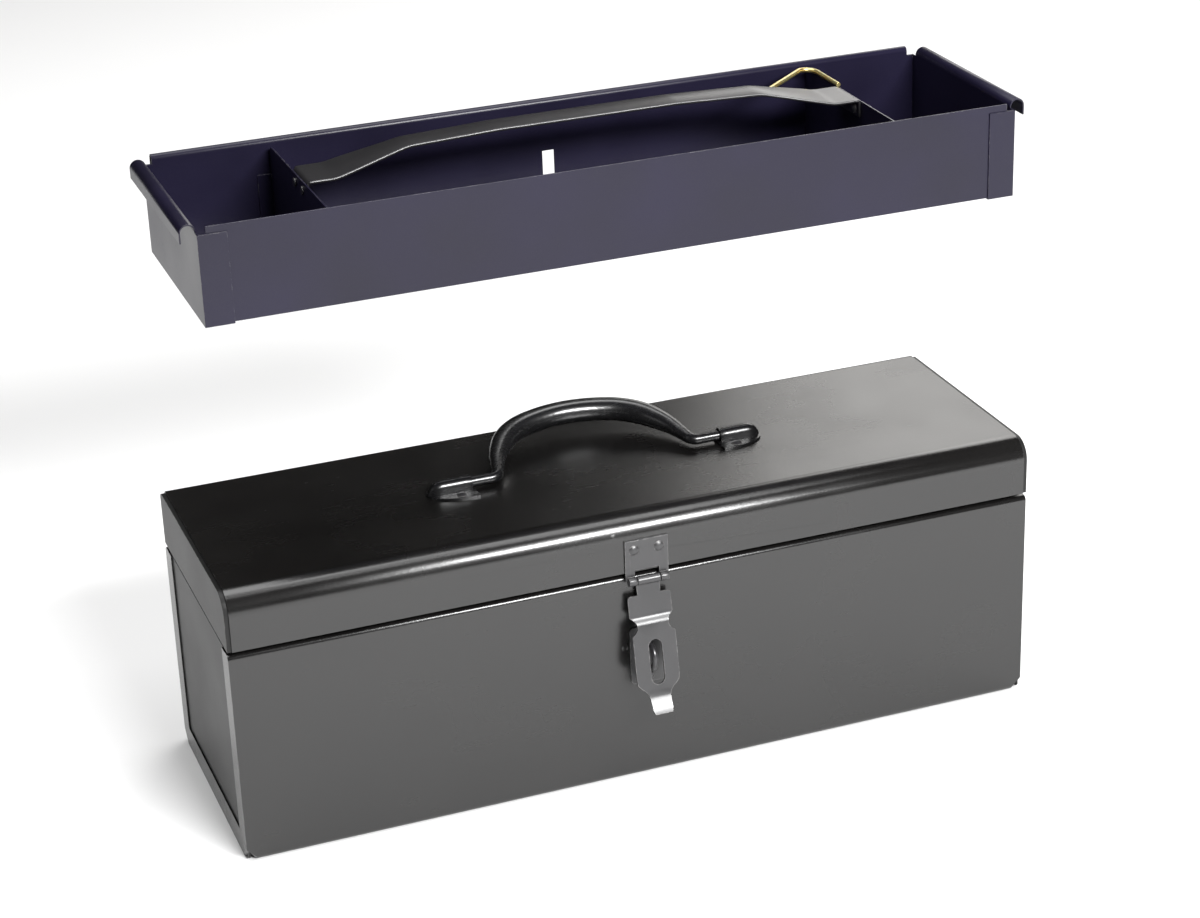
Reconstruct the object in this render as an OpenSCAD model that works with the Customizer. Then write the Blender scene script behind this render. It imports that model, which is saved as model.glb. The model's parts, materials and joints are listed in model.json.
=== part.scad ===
// Hand-carry steel toolbox with a lift-out tote tray, in millimetres.
// +X runs along the box, -Y is the front with the hasp, +Z is up.
// The origin is the centre of the case's underside.
// The lid is shut, the hasp hangs just clear of its staple and the tray is lifted out above.

/* [Case] */
// Length of the case over its end flanges
case_l = 483; // [400:1:600]
// Depth of the case, front to back
case_d = 150; // [120:1:200]
// Height of the case, without the lid
case_h = 129; // [105:1:170]
// Thickness of the case and lid sheet
sheet_t = 1.0; // [0.7:0.1:1.5]
// Outside radius of the case's long bends
case_bend_r = 3; // [2:0.5:5]
// Width of the wrap's flanges folded over each end
end_flange_w = 14; // [8:1:20]
// Width of the flanges turned in along the mouth
mouth_flange_w = 7; // [5:0.5:7]
// Relief cut at the bottom corners, measured along each edge
corner_cut = 7.5; // [4:0.5:10]

/* [Lid] */
// Height of the lid's skirt
lid_h = 33.5; // [26:0.5:45]
// Gap between the lid's skirt and the case
lid_gap = 2.5; // [1.5:0.5:4]
// How far the lid stands in front of the case
lid_overhang = 1; // [0.6:0.1:2]
// Radius of the lid's front bend
lid_front_r = 13; // [8:1:16]
// Radius of the lid's back bend
lid_back_r = 5; // [3:0.5:8]
// How far the end caps stand out past the lid's wrap
lid_cap_proud = 2.5; // [1:0.5:5]
// Width of the end caps' flanges under the wrap
lid_cap_flange_w = 12; // [8:1:20]

/* [Hinges] */
// Distance of each hinge from the middle
hinge_x = 150; // [100:5:180]
// Length of a hinge along its pin
hinge_l = 30; // [24:1:40]
// Height of one hinge leaf
hinge_leaf_h = 17; // [14:1:22]
// Outside radius of the hinge knuckles
hinge_knuckle_r = 2.7; // [2.4:0.1:3.2]
// Radius of the hinge pins
hinge_pin_r = 1.5; // [1.2:0.1:1.8]

/* [Handle] */
// Half the distance between the handle's clips
clip_x = 89; // [75:1:105]
// Length of a clip's arch along the rod
clip_l = 24; // [16:1:30]
// Radius of the handle's rod ends
rod_r = 3; // [2.5:0.25:3.5]
// Radius of the handle's grip
grip_r = 7; // [5.5:0.5:8]
// Height of the grip's centre line over the pivot
handle_h = 52; // [44:1:60]
// Half the length of the curved grip
grip_half_l = 47; // [38:1:50]
// Rise of the grip's curve at its middle
grip_rise = 15; // [10:1:20]
// Lean of the handle from upright at rest, in degrees
handle_lean = 80; // [0:5:80]

/* [Hasp] */
// Width of the hasp's leaf and strap
hasp_w = 26; // [22:1:32]
// Drop of the hasp's pin below the case's mouth
hasp_pin_drop = 2; // [0:0.5:6]
// Length of the strap below the pin
hasp_l = 79; // [74:1:84]
// Thickness of the hasp's plate
hasp_t = 1.2; // [1:0.1:1.6]
// Outside radius of the hasp's barrel
hasp_barrel_r = 2.6; // [2.4:0.1:3.2]
// Radius of the hasp's pin
hasp_pin_r = 1.25; // [1:0.05:1.6]
// Distance of the staple below the hasp's pin
staple_drop = 49; // [46:1:52]
// Radius of the staple's loop, to the middle of its wire
staple_loop_r = 8; // [6:0.5:9]
// Radius of the staple's wire
staple_wire_r = 1.75; // [1.25:0.25:2]
// Angle of the strap away from the case at rest, in degrees
hasp_ajar = 11; // [11:1:20]

/* [Tray] */
// How far the tray's rims stand out past the case's end panels
tray_hook = 1.2; // [1.1:0.1:1.5]
// Gap between the tray and the flanges of the mouth
tray_side_gap = 0.8; // [0.6:0.1:2]
// Height of the tray
tray_h = 54.5; // [45:0.5:60]
// Thickness of the tray's sheet
tray_t = 0.8; // [0.6:0.1:1.2]
// Width of the rolled rim on the back wall
back_rim_w = 5.5; // [4.5:0.5:7]
// Width of the rolled rims on the end walls
end_rim_w = 9; // [7:0.5:9]
// Distance of each divider from the middle
divider_x = 163; // [120:1:190]
// Width of the tabs that wrap the corners
corner_tab_w = 15; // [10:1:22]
// Width of the strap handle at its ends
strap_end_w = 30; // [24:1:36]
// Width of the strap handle along its middle
strap_mid_w = 18; // [14:1:24]
// Thickness of the strap handle
strap_t = 1.5; // [1.2:0.1:2]
// Rise of the strap handle over the dividers
strap_rise = 13; // [8:1:18]
// Opening of the lid that the lifted tray clears, in degrees
lid_open = 95; // [80:1:95]
// Clearance between the lifted tray and the open lid's hasp
tray_clear = 1.6; // [1:0.1:40]

/* [Fits] */
// Radial clearance of the pivots
running_fit = 0.06; // [0.02:0.01:0.1]
// Gap between pieces that move past each other
move_gap = 0.3; // [0.3:0.1:0.6]

/* [Hidden] */
$fn = 48;
rivet_r = 1.6;
rivet_head_r = 3.2;
rivet_head_h = 1.3;
rivet_tail_r = 2.4;
rivet_tail_h = 0.8;
cut = 1; // overshoot of a cutting solid

case_front = -case_d / 2;
case_back = case_d / 2;
lid_front = case_front - lid_overhang;
lid_bottom = case_h + lid_gap;
lid_top = lid_bottom + lid_h;
lid_wrap_l = case_l - 2 * lid_cap_proud;

hinge_y = case_back + hinge_knuckle_r;
hinge_z = case_h + lid_gap / 2;
hinge_bolt_x = hinge_l / 3;
hinge_knuckle_l = (hinge_l - 2 * move_gap) / 3;
hinge_relief = hinge_knuckle_r + 0.4;
hinge_rivet_drop = 11;

clip_t = 1.3;
clip_base_t = 1.2;
clip_base_half_l = 15;
clip_base_half_w = 13;
clip_rivet_y = 8.4;
clip_rivet_x = 4;
rod_z = lid_top + clip_base_t + rod_r + running_fit;
rod_end_x = clip_x + clip_l / 2 - 2;
foot_x = 61;
foot_rise = 9;
neck_r = 4.2;
grip_curve_r = (grip_half_l * grip_half_l + grip_rise * grip_rise) / (2 * grip_rise);
grip_curve_a = asin(grip_half_l / grip_curve_r);

hasp_pin_y = lid_front - hasp_barrel_r;
hasp_pin_z = case_h - hasp_pin_drop;
hasp_top_z = lid_top - lid_front_r - 0.5;
hasp_mid_l = 14;
hasp_barrel_l = 24;
hasp_seat_y = hasp_barrel_r - hasp_t;
hasp_step = 2;
hasp_window_h = 6;
slot_w = 8;
slot_h = 26;
notch_r = 5;
notch_drop = 27;
notch_depth = 3.6;
shoulder_drop = 9;
crease_drop = 23;
tab_w = 12;
tab_l = 10;
tab_kick = 4;
staple_z = hasp_pin_z - staple_drop;
staple_plate_w = 22;
staple_plate_h = 36;
staple_leg = 1.75;

end_panel_x = case_l / 2 - sheet_t;
tray_x = end_panel_x + tray_hook - end_rim_w;
tray_l = 2 * tray_x;
tray_w = case_d - 2 * mouth_flange_w - 2 * (back_rim_w - tray_t) - 2 * tray_side_gap;
tray_y = tray_w / 2;
back_rim_r = back_rim_w / 2;
end_rim_r = end_rim_w / 2;
rim_lip = 1;
rim_notch = 4;
front_drop = 1;
divider_h = tray_h - 3.5;
divider_corner_r = 6;
divider_flange = 8;
tab_top_drop = 5;
slot_mark_w = 7;
slot_mark_up = 24;
slot_mark_in = 20;
strap_fold = 9;
strap_flat = 16;
strap_ramp = 42;
wire_r = 1.4;
wire_reach = 48;
strap_ramp_rise = 0.8 * strap_rise;
strap_z = divider_h;

// The hasp's tab swings highest as the lid opens, so it sets the lifted tray's height
tab_out = hasp_seat_y - hasp_step - tab_kick;
tab_tip_y = hasp_pin_y + tab_out * cos(hasp_ajar) - hasp_l * sin(hasp_ajar);
tab_tip_z = hasp_pin_z - tab_out * sin(hasp_ajar) - hasp_l * cos(hasp_ajar);
tab_swing_r = norm([hinge_y - tab_tip_y, hinge_z - tab_tip_z]);
tab_swing_a = lid_open - atan2(hinge_z - tab_tip_z, hinge_y - tab_tip_y);
tray_lift_z = hinge_z + tab_swing_r * sin(tab_swing_a) + tray_clear;

// ---- shared shapes ----

// A rectangle with round corners, from four circles and two bars
module round_rect(w, h, r) {
    square([w - 2 * r, h], center = true);
    square([w, h - 2 * r], center = true);
    for (x = [-1, 1], y = [-1, 1])
        translate([x * (w / 2 - r), y * (h / 2 - r)]) circle(r);
}

// Extrudes a (Y, Z) outline along X, centred
module along_x(l) {
    rotate([90, 0, 90]) translate([0, 0, -l / 2]) linear_extrude(l) children();
}

// Extrudes a (X, Z) outline along Y, from y0 to y1
module along_y(y0, y1) {
    translate([0, y1, 0]) rotate([90, 0, 0]) linear_extrude(y1 - y0) children();
}

module rod_x(r, l) {
    rotate([0, 90, 0]) cylinder(r = r, h = l, center = true);
}

// A rivet whose head sits on z = 0 and whose shank goes down through grip
module rivet(grip) {
    dome_r = (rivet_head_r * rivet_head_r + rivet_head_h * rivet_head_h) / (2 * rivet_head_h);
    intersection() {
        translate([0, 0, rivet_head_h - dome_r]) sphere(dome_r);
        cylinder(r = rivet_head_r, h = rivet_head_h + cut);
    }
    translate([0, 0, -grip]) cylinder(r = rivet_r, h = grip);
    translate([0, 0, -grip - rivet_tail_h]) cylinder(r = rivet_tail_r, h = rivet_tail_h);
}

module rivet_hole() {
    cylinder(r = rivet_r, h = 12, center = true);
}

// Turns a shape that looks up so that it looks to the front or to the back
module face_front() { rotate([90, 0, 0]) children(); }
module face_back() { rotate([-90, 0, 0]) children(); }

// ---- case ----

module case_section(inset) {
    translate([0, case_h / 2])
        round_rect(case_d - 2 * inset, case_h - 2 * inset, case_bend_r - inset);
}

module corner_reliefs() {
    for (x = [0, 1], y = [0, 1]) mirror([x, 0, 0]) mirror([0, y, 0])
        translate([case_l / 2, case_back, 0]) rotate([0, acos(-1 / sqrt(3)), 45])
            translate([-20, -20, -corner_cut / sqrt(3)]) cube([40, 40, 20]);
}

module hinge_rivet_places() {
    for (s = [-1, 1], b = [-1, 1]) translate([s * hinge_x + b * hinge_bolt_x, 0, 0]) children();
}

module staple_rivet_places() {
    for (b = [-1, 1])
        translate([0, case_front, staple_z + b * (staple_plate_h / 2 - 4)]) face_front() children();
}

// One sheet bent into the front, bottom and back, with its mouth and end flanges
module case_wrap() {
    color("#232326") difference() {
        union() {
            along_x(case_l) difference() {
                case_section(0);
                case_section(sheet_t);
                translate([0, case_h])
                    square([case_d - 2 * mouth_flange_w, 4 * sheet_t], center = true);
            }
            for (s = [-1, 1]) translate([s * (case_l - sheet_t) / 2, 0, 0]) along_x(sheet_t)
                difference() {
                    case_section(sheet_t / 2);
                    translate([-case_d / 2 + end_flange_w, end_flange_w])
                        square([case_d - 2 * end_flange_w, case_h]);
                }
        }
        corner_reliefs();
        hinge_rivet_places()
            translate([0, case_back, hinge_z - hinge_rivet_drop]) face_back() rivet_hole();
        staple_rivet_places() rivet_hole();
        staple_leg_holes();
    }
}

// An end panel, recessed behind the wrap's flanges; the tray's rims hook over its top edge
module case_end(s) {
    color("#1d1d20") translate([s * (end_panel_x - sheet_t / 2), 0, 0])
        along_x(sheet_t) case_section(sheet_t);
}
module case_end_left() { case_end(-1); }
module case_end_right() { case_end(1); }

// ---- hinges ----

module hinge_plate(z0, z1) {
    translate([-hinge_l / 2, case_back, z0]) cube([hinge_l, sheet_t, z1 - z0]);
}

module hinge_barrel(x, l) {
    translate([x, hinge_y, hinge_z]) rod_x(hinge_knuckle_r, l);
}

module hinge_gap(x, l) {
    translate([x, hinge_y, hinge_z]) rod_x(hinge_relief, l);
    translate([x - l / 2, case_back - cut, hinge_z - hinge_relief])
        cube([l, 3 * cut + hinge_knuckle_r, 2 * hinge_relief]);
}

module case_hinge_leaf(s) {
    outer_x = hinge_knuckle_l + move_gap;
    color("#2a2a2d") translate([s * hinge_x, 0, 0]) difference() {
        union() {
            hinge_plate(hinge_z - hinge_leaf_h, hinge_z);
            for (b = [-1, 1]) hinge_barrel(b * outer_x, hinge_knuckle_l);
        }
        hinge_gap(0, hinge_knuckle_l + 2 * move_gap);
        translate([0, hinge_y, hinge_z]) rod_x(hinge_pin_r, hinge_l + cut);
        for (b = [-1, 1]) translate([b * hinge_bolt_x, case_back, hinge_z - hinge_rivet_drop])
            face_back() rivet_hole();
    }
}
module case_hinge_leaf_left() { case_hinge_leaf(-1); }
module case_hinge_leaf_right() { case_hinge_leaf(1); }

module lid_hinge_leaf(s) {
    side_l = hinge_l / 2 - hinge_knuckle_l / 2;
    color("#2a2a2d") translate([s * hinge_x, 0, 0]) difference() {
        union() {
            hinge_plate(hinge_z, hinge_z + hinge_leaf_h);
            hinge_barrel(0, hinge_knuckle_l);
        }
        for (b = [-1, 1]) hinge_gap(b * (hinge_knuckle_l + side_l + cut) / 2, side_l + cut);
        translate([0, hinge_y, hinge_z]) rod_x(hinge_pin_r + running_fit, hinge_l + cut);
        for (b = [-1, 1]) translate([b * hinge_bolt_x, case_back, hinge_z + hinge_rivet_drop])
            face_back() rivet_hole();
    }
}
module lid_hinge_leaf_left() { lid_hinge_leaf(-1); }
module lid_hinge_leaf_right() { lid_hinge_leaf(1); }

module hinge_pin(s) {
    color("#6b6b6e") translate([s * hinge_x, hinge_y, hinge_z]) rod_x(hinge_pin_r, hinge_l);
}
module hinge_pin_left() { hinge_pin(-1); }
module hinge_pin_right() { hinge_pin(1); }

module case_hinge_rivets() {
    color("#333336") hinge_rivet_places()
        translate([0, case_back + sheet_t, hinge_z - hinge_rivet_drop]) face_back()
            rivet(2 * sheet_t);
}

module lid_hinge_rivets() {
    color("#333336") hinge_rivet_places()
        translate([0, case_back + sheet_t, hinge_z + hinge_rivet_drop]) face_back()
            rivet(2 * sheet_t);
}

// ---- staple ----

module staple_leg_holes() {
    for (b = [-1, 1]) translate([0, case_front, staple_z + b * staple_loop_r])
        rotate([90, 0, 0]) cylinder(r = staple_wire_r, h = 12, center = true);
}

module staple_plate() {
    color("#2a2a2d") difference() {
        translate([0, 0, staple_z]) along_y(case_front - sheet_t, case_front)
            round_rect(staple_plate_w, staple_plate_h, 3);
        staple_leg_holes();
        staple_rivet_places() rivet_hole();
    }
}

// A half ring of wire with two legs, clinched inside the case
module staple() {
    leg_end = case_front + sheet_t + 1.5;
    nose_y = case_front - sheet_t - staple_leg;
    color("#3a3a3e") {
        translate([0, nose_y, staple_z]) rotate([0, 90, 0]) rotate([0, 0, 180])
            rotate_extrude(angle = 180) translate([staple_loop_r, 0]) circle(staple_wire_r);
        for (b = [-1, 1]) translate([0, 0, staple_z + b * staple_loop_r]) {
            translate([0, leg_end, 0]) rotate([90, 0, 0])
                cylinder(r = staple_wire_r, h = leg_end - nose_y);
            translate([0, leg_end, 0]) rotate([90, 0, 0])
                cylinder(r = staple_wire_r + 1, h = leg_end - case_front - sheet_t);
        }
    }
}

module staple_rivets() {
    color("#333336") translate([0, -sheet_t, 0]) staple_rivet_places() rivet(2 * sheet_t);
}

// ---- lid ----

// The lid's outline in (Y, Z), open below when cut from a smaller one
module lid_section(inset, below) {
    y0 = lid_front + inset;
    y1 = case_back - inset;
    z0 = lid_bottom - below;
    z1 = lid_top - inset;
    fr = lid_front_r - inset;
    br = lid_back_r - inset;
    translate([y0, z0]) square([fr, z1 - fr - z0]);
    translate([y0 + fr, z0]) square([y1 - br - y0 - fr, z1 - z0]);
    translate([y1 - br, z0]) square([br, z1 - br - z0]);
    translate([y0 + fr, z1 - fr]) circle(fr);
    translate([y1 - br, z1 - br]) circle(br);
}

module hasp_rivet_places() {
    for (b = [-1, 1]) translate([b * 7.5, lid_front, hasp_top_z - 6]) face_front() children();
}

module clip_rivet_places() {
    for (s = [-1, 1], b = [-1, 1])
        translate([s * (clip_x - clip_rivet_x), b * clip_rivet_y, lid_top]) children();
}

module lid_wrap() {
    color("#232326") difference() {
        along_x(lid_wrap_l) difference() {
            lid_section(0, 0);
            lid_section(sheet_t, cut);
        }
        hinge_rivet_places()
            translate([0, case_back, hinge_z + hinge_rivet_drop]) face_back() rivet_hole();
        hasp_rivet_places() rivet_hole();
        clip_rivet_places() rivet_hole();
    }
}

// An end cap whose flange is turned in under the wrap
module lid_end(s) {
    color("#1d1d20") {
        translate([s * (case_l - sheet_t) / 2, 0, 0]) along_x(sheet_t) lid_section(sheet_t, 0);
        translate([s * (case_l - lid_cap_flange_w) / 2, 0, 0]) along_x(lid_cap_flange_w)
            difference() {
                lid_section(sheet_t, 0);
                lid_section(2 * sheet_t, cut);
            }
    }
}
module lid_end_left() { lid_end(-1); }
module lid_end_right() { lid_end(1); }

// ---- carry handle ----

module clip_lens() {
    big_r = (clip_base_half_l * clip_base_half_l + clip_base_half_w * clip_base_half_w)
        / (2 * clip_base_half_w);
    intersection_for (b = [-1, 1]) translate([0, b * (big_r - clip_base_half_w)]) circle(big_r);
}

// A saddle over the rod's end, on a pointed base
module handle_clip(s) {
    arch_r = rod_r + running_fit + clip_t;
    color("#26262a") translate([s * clip_x, 0, 0]) difference() {
        union() {
            translate([0, 0, lid_top]) linear_extrude(clip_base_t) clip_lens();
            translate([0, 0, rod_z]) rod_x(arch_r, clip_l);
            translate([-clip_l / 2, -arch_r, lid_top]) cube([clip_l, 2 * arch_r, rod_z - lid_top]);
        }
        translate([-s * cut, 0, rod_z]) rod_x(rod_r + running_fit, clip_l);
        translate([0, 0, lid_top - arch_r]) cube([2 * clip_l, 3 * arch_r, 2 * arch_r], center = true);
        for (b = [-1, 1]) translate([-s * clip_rivet_x, b * clip_rivet_y, lid_top]) rivet_hole();
    }
}
module handle_clip_left() { handle_clip(-1); }
module handle_clip_right() { handle_clip(1); }

module handle_clip_rivets() {
    color("#333336") translate([0, 0, clip_base_t]) clip_rivet_places()
        rivet(clip_base_t + sheet_t);
}

// Runs its children with the pivot at the origin, then leans them back
module on_handle_pivot() {
    translate([0, 0, rod_z]) rotate([-handle_lean, 0, 0]) children();
}

// A bent steel bail: thin rod ends, a swelling neck and a thick curved grip
module handle_grip() {
    grip_end = [grip_half_l, 0, handle_h - grip_rise];
    color("#2b2b2f") on_handle_pivot() {
        translate([0, 0, handle_h - grip_curve_r]) rotate([90, 0, 0])
            rotate([0, 0, 90 - grip_curve_a]) rotate_extrude(angle = 2 * grip_curve_a)
                translate([grip_curve_r, 0]) circle(grip_r);
        for (s = [0, 1]) mirror([s, 0, 0]) {
            translate([(foot_x + rod_end_x) / 2, 0, 0]) rod_x(rod_r, rod_end_x - foot_x);
            hull() {
                translate([foot_x, 0, 0]) sphere(rod_r, $fn = 32);
                translate([foot_x - 4, 0, foot_rise]) sphere(neck_r, $fn = 32);
            }
            hull() {
                translate([foot_x - 4, 0, foot_rise]) sphere(neck_r, $fn = 32);
                translate(grip_end) sphere(grip_r, $fn = 32);
            }
        }
    }
}

// ---- hasp ----

module hasp_leaf() {
    side_l = (hasp_barrel_l - hasp_mid_l) / 2;
    color("#26262a") difference() {
        union() {
            translate([-hasp_w / 2, lid_front - hasp_t, hasp_pin_z])
                cube([hasp_w, hasp_t, hasp_top_z - hasp_pin_z]);
            translate([0, hasp_pin_y, hasp_pin_z]) rod_x(hasp_barrel_r, hasp_barrel_l);
        }
        translate([0, hasp_pin_y, hasp_pin_z])
            cube([hasp_mid_l + 2 * move_gap, 4 * hasp_barrel_r, 2 * hasp_window_h], center = true);
        translate([0, hasp_pin_y, hasp_pin_z]) rod_x(hasp_pin_r, hasp_w + cut);
        hasp_rivet_places() rivet_hole();
    }
}

module hasp_leaf_rivets() {
    color("#333336") translate([0, -hasp_t, 0]) hasp_rivet_places() rivet(hasp_t + sheet_t);
}

module hasp_pin() {
    color("#3a3a3e") translate([0, hasp_pin_y, hasp_pin_z]) rod_x(hasp_pin_r, hasp_barrel_l);
}

// The strap's front outline in (X, Z), measured down from the pin
module hasp_outline() {
    half = hasp_w / 2;
    difference() {
        union() {
            translate([-hasp_mid_l / 2, -shoulder_drop - cut])
                square([hasp_mid_l, shoulder_drop + cut]);
            polygon([
                [-half, -shoulder_drop], [half, -shoulder_drop],
                [half, -hasp_l + 1.6 * tab_l], [tab_w / 2, -hasp_l + tab_l],
                [tab_w / 2, -hasp_l], [-tab_w / 2, -hasp_l],
                [-tab_w / 2, -hasp_l + tab_l], [-half, -hasp_l + 1.6 * tab_l]
            ]);
        }
        for (s = [-1, 1]) translate([s * (half + notch_r - notch_depth), -notch_drop]) circle(notch_r);
        translate([0, -staple_drop]) round_rect(slot_w, slot_h, slot_w / 2 - 0.5);
    }
}

// The strap's side outline in (Y, Z): a step outward below the crease and a kicked-out tab
module hasp_side() {
    back = hasp_seat_y + hasp_t;
    polygon([
        [hasp_seat_y, 0], [back, 0], [back, -crease_drop],
        [back - hasp_step, -crease_drop - 3], [back - hasp_step, -hasp_l + tab_l],
        [back - hasp_step - tab_kick, -hasp_l], [hasp_seat_y - hasp_step - tab_kick, -hasp_l],
        [hasp_seat_y - hasp_step, -hasp_l + tab_l], [hasp_seat_y - hasp_step, -crease_drop - 3],
        [hasp_seat_y, -crease_drop]
    ]);
}

module hasp_strap() {
    color("#26262a") translate([0, hasp_pin_y, hasp_pin_z]) rotate([-hasp_ajar, 0, 0])
        difference() {
            union() {
                intersection() {
                    along_y(-10, 10) hasp_outline();
                    along_x(hasp_w + cut) hasp_side();
                }
                rod_x(hasp_barrel_r, hasp_mid_l);
            }
            rod_x(hasp_pin_r + running_fit, hasp_mid_l + cut);
        }
}

// ---- tray ----

// A rolled rim's section: an arch with a short lip, from the wall's inner face outward
module rim_section(r, t) {
    difference() {
        union() {
            circle(r);
            translate([-r, -r - rim_lip]) square([2 * r, r + rim_lip]);
        }
        circle(r - t);
        translate([-r + t, -r - rim_lip - cut]) square([2 * (r - t), r + rim_lip + cut]);
    }
}

module tray_at() {
    translate([0, 0, tray_lift_z]) children();
}

// Floor, front and back walls from one sheet, with a rim rolled outward at the back
module tray_shell() {
    color("#2c2c38") tray_at() difference() {
        union() {
            translate([-tray_x, -tray_y, 0]) cube([tray_l, tray_w, tray_t]);
            translate([-tray_x, -tray_y, 0]) cube([tray_l, tray_t, tray_h - tab_top_drop]);
            translate([-tray_x + rim_notch, -tray_y, 0])
                cube([tray_l - 2 * rim_notch, tray_t, tray_h - front_drop]);
            translate([-tray_x, tray_y - tray_t, 0]) cube([tray_l, tray_t, tray_h - tab_top_drop]);
            translate([0, tray_y - tray_t + back_rim_r, tray_h - back_rim_r])
                along_x(tray_l - 2 * rim_notch) {
                    rim_section(back_rim_r, tray_t);
                    translate([-back_rim_r, -tab_top_drop]) square([tray_t, tab_top_drop]);
                }
        }
        translate([-slot_mark_w / 2, tray_y - slot_mark_in, -cut])
            cube([slot_mark_w, slot_mark_in + cut, slot_mark_up + cut]);
    }
}

// An end wall with tabs folded around the corners and under the floor, and a wide rolled rim
module tray_end(s) {
    tab_h = tray_h - tab_top_drop;
    rim_y = tray_w - 2 * rim_notch;
    color("#2c2c38") tray_at() mirror([s < 0 ? 1 : 0, 0, 0]) {
        translate([tray_x, -tray_y - tray_t, -tray_t])
            cube([tray_t, tray_w + 2 * tray_t, tab_h + tray_t]);
        translate([tray_x, -rim_y / 2, tab_h]) cube([tray_t, rim_y, tab_top_drop - end_rim_r]);
        for (m = [0, 1]) mirror([0, m, 0]) translate([tray_x - corner_tab_w, tray_y, -tray_t])
            cube([corner_tab_w, tray_t, tab_h + tray_t]);
        translate([tray_x - corner_tab_w, -tray_y, -tray_t])
            cube([corner_tab_w, tray_w, tray_t]);
        translate([tray_x + end_rim_r, 0, tray_h - end_rim_r]) rotate([0, 0, 90])
            along_x(rim_y) mirror([1, 0]) rim_section(end_rim_r, tray_t);
    }
}
module tray_end_left() { tray_end(-1); }
module tray_end_right() { tray_end(1); }

module strap_rivet_places() {
    for (s = [-1, 1], b = [-1, 1])
        translate([s * (divider_x - tray_t), b * strap_end_w / 4, tray_lift_z + divider_h - 5])
            rotate([0, -s * 90, 0]) children();
}

// A cross wall with a rounded back corner and flanges turned onto floor and walls
module tray_divider(s) {
    inner = tray_w - 2 * tray_t;
    color("#2c2c38") difference() {
        tray_at() mirror([s < 0 ? 1 : 0, 0, 0]) translate([divider_x - tray_t, 0, 0]) {
            translate([tray_t / 2, 0, 0]) along_x(tray_t) difference() {
                translate([-inner / 2, tray_t]) square([inner, divider_h - tray_t]);
                difference() {
                    translate([inner / 2 - divider_corner_r, divider_h - divider_corner_r])
                        square(divider_corner_r + cut);
                    translate([inner / 2 - divider_corner_r, divider_h - divider_corner_r])
                        circle(divider_corner_r);
                }
            }
            translate([tray_t, -inner / 2, tray_t]) cube([divider_flange, inner, tray_t]);
            for (m = [0, 1]) mirror([0, m, 0])
                translate([tray_t, inner / 2 - tray_t, 2 * tray_t])
                    cube([divider_flange, tray_t, divider_h - 3 * divider_corner_r]);
        }
        strap_rivet_places() rivet_hole();
    }
}
module tray_divider_left() { tray_divider(-1); }
module tray_divider_right() { tray_divider(1); }

// Half the strap's top outline in (X, Y): wide at the divider, narrow along the middle
module strap_plan() {
    end_x = divider_x - tray_t;
    half_end = strap_end_w / 2;
    half_mid = strap_mid_w / 2;
    polygon([
        [-cut, -half_mid], [end_x - strap_flat - strap_ramp, -half_mid],
        [end_x - strap_flat, -half_end], [end_x, -half_end],
        [end_x, half_end], [end_x - strap_flat, half_end],
        [end_x - strap_flat - strap_ramp, half_mid], [-cut, half_mid]
    ]);
}

// Half the strap's side outline in (X, Z): fold, flat end, ramp and a gently crowned middle
module strap_side() {
    end_x = divider_x - tray_t;
    z0 = strap_z;
    z1 = strap_z + strap_ramp_rise;
    z2 = strap_z + strap_rise;
    polygon([
        [-cut, z2], [end_x / 3, z2], [end_x - strap_flat - strap_ramp, z1],
        [end_x - strap_flat, z0], [end_x - strap_t, z0],
        [end_x - strap_t, z0 - strap_fold], [end_x, z0 - strap_fold],
        [end_x, z0 + strap_t], [end_x - strap_flat, z0 + strap_t],
        [end_x - strap_flat - strap_ramp, z1 + strap_t], [end_x / 3, z2 + strap_t],
        [-cut, z2 + strap_t]
    ]);
}

module tray_strap_handle() {
    color("#2b2b30") difference() {
        tray_at() for (m = [0, 1]) mirror([m, 0, 0]) intersection() {
            linear_extrude(2 * tray_h) strap_plan();
            along_y(-strap_end_w, strap_end_w) strap_side();
        }
        strap_rivet_places() rivet_hole();
    }
}

module tray_strap_rivets() {
    color("#333336") for (s = [-1, 1]) translate([-s * strap_t, 0, 0]) intersection() {
        strap_rivet_places() rivet(strap_t + tray_t);
        translate([s * 300, 0, 0]) cube([600, 2000, 2000], center = true);
    }
}

// A bare bent wire: one leg lies along the right divider, the other reaches under the strap
module tray_wire_brace() {
    on_divider = divider_x - tray_t / 2;
    up_ramp = (wire_reach - tray_t / 2 - strap_flat) / strap_ramp;
    corner = [on_divider, tray_y - tray_t - wire_r, divider_h + wire_r];
    near_end = [on_divider, strap_end_w / 2 + wire_r + move_gap, corner[2]];
    far_end = [
        on_divider - wire_reach,
        strap_end_w / 2 - up_ramp * (strap_end_w - strap_mid_w) / 2,
        strap_z + up_ramp * strap_ramp_rise - wire_r - move_gap
    ];
    color("#b59a4e") tray_at() for (end = [near_end, far_end]) hull() {
        translate(corner) sphere(wire_r, $fn = 20);
        translate(end) sphere(wire_r, $fn = 20);
    }
}

case_wrap();
case_end_left();
case_end_right();
case_hinge_leaf_left();
case_hinge_leaf_right();
case_hinge_rivets();
hinge_pin_left();
hinge_pin_right();
staple();
staple_plate();
staple_rivets();
lid_wrap();
lid_end_left();
lid_end_right();
lid_hinge_leaf_left();
lid_hinge_leaf_right();
lid_hinge_rivets();
handle_clip_left();
handle_clip_right();
handle_clip_rivets();
hasp_leaf();
hasp_leaf_rivets();
hasp_pin();
handle_grip();
hasp_strap();
tray_shell();
tray_end_left();
tray_end_right();
tray_divider_left();
tray_divider_right();
tray_strap_handle();
tray_strap_rivets();
tray_wire_brace();
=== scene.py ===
import json
import math

import bmesh
import bpy
from mathutils import Matrix, Vector


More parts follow.
